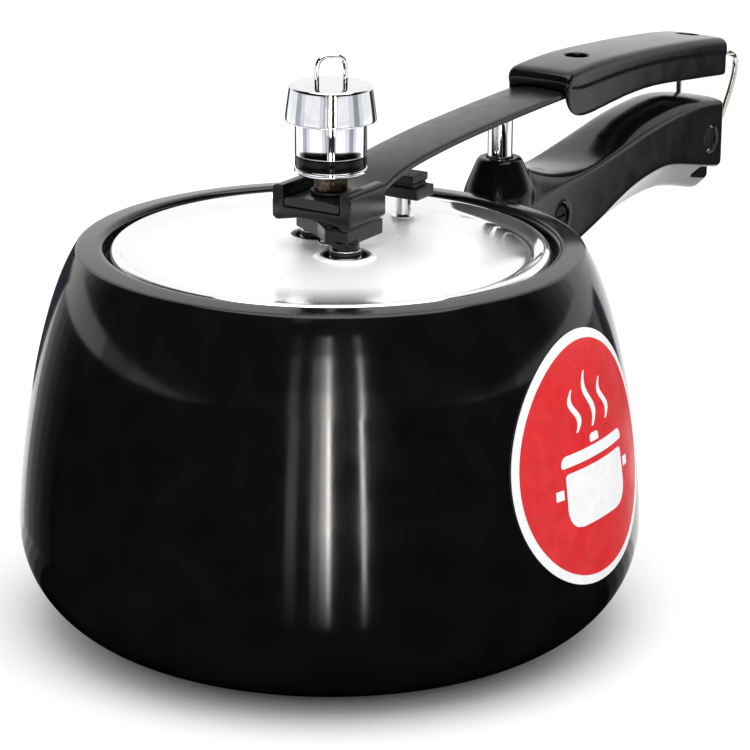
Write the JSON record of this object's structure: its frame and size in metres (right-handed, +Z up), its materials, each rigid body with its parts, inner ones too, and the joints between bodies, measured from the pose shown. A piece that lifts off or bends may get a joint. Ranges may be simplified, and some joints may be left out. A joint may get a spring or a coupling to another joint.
{
  "type": "stovetop pressure cooker",
  "caption": "Inner-lid stovetop pressure cooker: rounded black pot, mirror lid on a lever bar, vent weight, long handles with a wire lock loop.",
  "frame": {"origin": "centre of the flat base that stands on the stove", "axes": "+Z up along the pot's axis; +X from the pot's axis towards the handles; the label faces -Y"},
  "size_m": [0.3648, 0.2005, 0.1851],
  "materials": {
    "hard_anodised": "satin hard-anodised black",
    "label": "printed, semi-gloss",
    "bakelite": "moulded black, semi-gloss",
    "black_paint": "satin black",
    "mirror_steel": "mirror polished",
    "bright_steel": "bright plated",
    "loop_wire": "bright drawn wire",
    "steel": "plain zinc-plated",
    "bronze": "dull, cast",
    "rubber": "black moulded"
  },
  "bodies": {
    "pot": {"cooker_body": "hard_anodised", "body_label": "label", "handle_bracket": "steel", "bracket_rivet_left": "steel", "bracket_rivet_right": "steel", "body_handle": "bakelite", "body_handle_screw": "steel", "body_handle_nut": "steel", "fulcrum_post": "bright_steel", "fulcrum_post_nut": "steel", "loop_pivot_pin": "steel"},
    "loop": {"lock_loop": "loop_wire"},
    "vent_weight": {"weight_base_ring": "bright_steel", "weight_band": "rubber", "weight_body": "bright_steel", "weight_seat_pin": "steel", "weight_cap": "bright_steel", "weight_finger_ring": "bright_steel"},
    "lid_assembly": {"lid": "mirror_steel", "gasket": "rubber", "lid_bar": "black_paint", "bar_saddle": "bakelite", "bracket_base": "bakelite", "vent_tube": "bright_steel", "vent_tube_nut": "steel", "vent_washer": "rubber", "vent_hex_nut": "bronze", "safety_valve_body": "bakelite", "safety_valve_stem": "bright_steel", "safety_valve_washer": "steel", "safety_valve_nut": "steel", "lid_handle": "bakelite", "lid_handle_screw_inner": "steel", "lid_handle_screw_outer": "steel", "leg_stud_front": "steel", "leg_rubber_washer_front": "rubber", "leg_steel_washer_front": "steel", "leg_nut_front": "steel", "leg_stud_rear": "steel", "leg_rubber_washer_rear": "rubber", "leg_steel_washer_rear": "steel", "leg_nut_rear": "steel"}
  },
  "joints": [
    {"name": "lid_lever", "type": "hinge", "parent": "pot", "child": "lid_assembly", "pos_m": [0.10649, 0, 0.14597], "axis": [0, -1, 0], "range_deg": [0, 6]},
    {"name": "loop_swing", "type": "hinge", "parent": "pot", "child": "loop", "pos_m": [0.24349, 0, 0.111], "axis": [0, 1, 0], "range_deg": [0, 96]},
    {"name": "weight_lift", "type": "slide", "parent": "lid_assembly", "child": "vent_weight", "axis": [0, 0, 1], "range_m": [0, 0.03]}
  ],
  "couplings": [
    {"joint": "loop_swing", "follows": "lid_lever", "ratio": 16}
  ]
}
